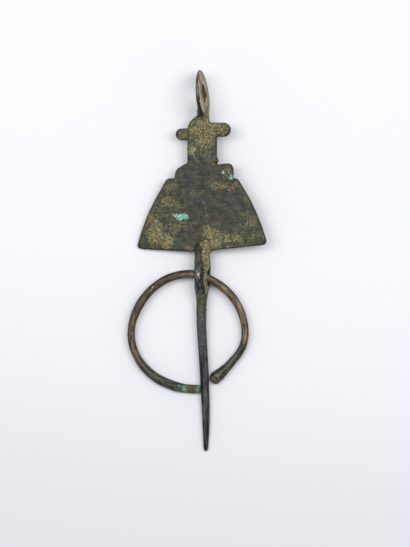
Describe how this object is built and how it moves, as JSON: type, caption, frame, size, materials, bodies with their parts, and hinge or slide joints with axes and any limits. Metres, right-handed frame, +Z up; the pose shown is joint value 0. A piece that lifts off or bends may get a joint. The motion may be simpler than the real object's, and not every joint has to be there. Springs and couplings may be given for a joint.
{
  "type": "fibula brooch",
  "caption": "Cast bronze ring fibula: a flat plate shaped like a robed figure, with a suspension loop, an eye and a long pin, and an open wire ring swinging in the eye.",
  "frame": {"origin": "on the surface that the brooch lies on, below the middle of the box of the whole brooch", "axes": "+Z up from that surface, +Y from the pin's point to the suspension loop, +X towards the side of the plate that is raised"},
  "size_m": [0.0368, 0.1004, 0.0122],
  "materials": {
    "cast_bronze": "dark olive-grey patina with ochre earthy crust and a few spots of green corrosion, matt with a dull sheen",
    "wire_bronze": "brown patina with fine lengthwise streaks, green corrosion near one end, dull sheen"
  },
  "bodies": {
    "casting": {"plate_and_pin": "cast_bronze"},
    "ring": {"open_ring": "wire_bronze"}
  },
  "joints": [
    {"name": "ring_swing", "type": "hinge", "parent": "casting", "child": "ring", "pos_m": [0.00153, -0.00392, 0.00346], "axis": [-0.9962, 0, -0.0872], "range_deg": [0, 164]}
  ]
}
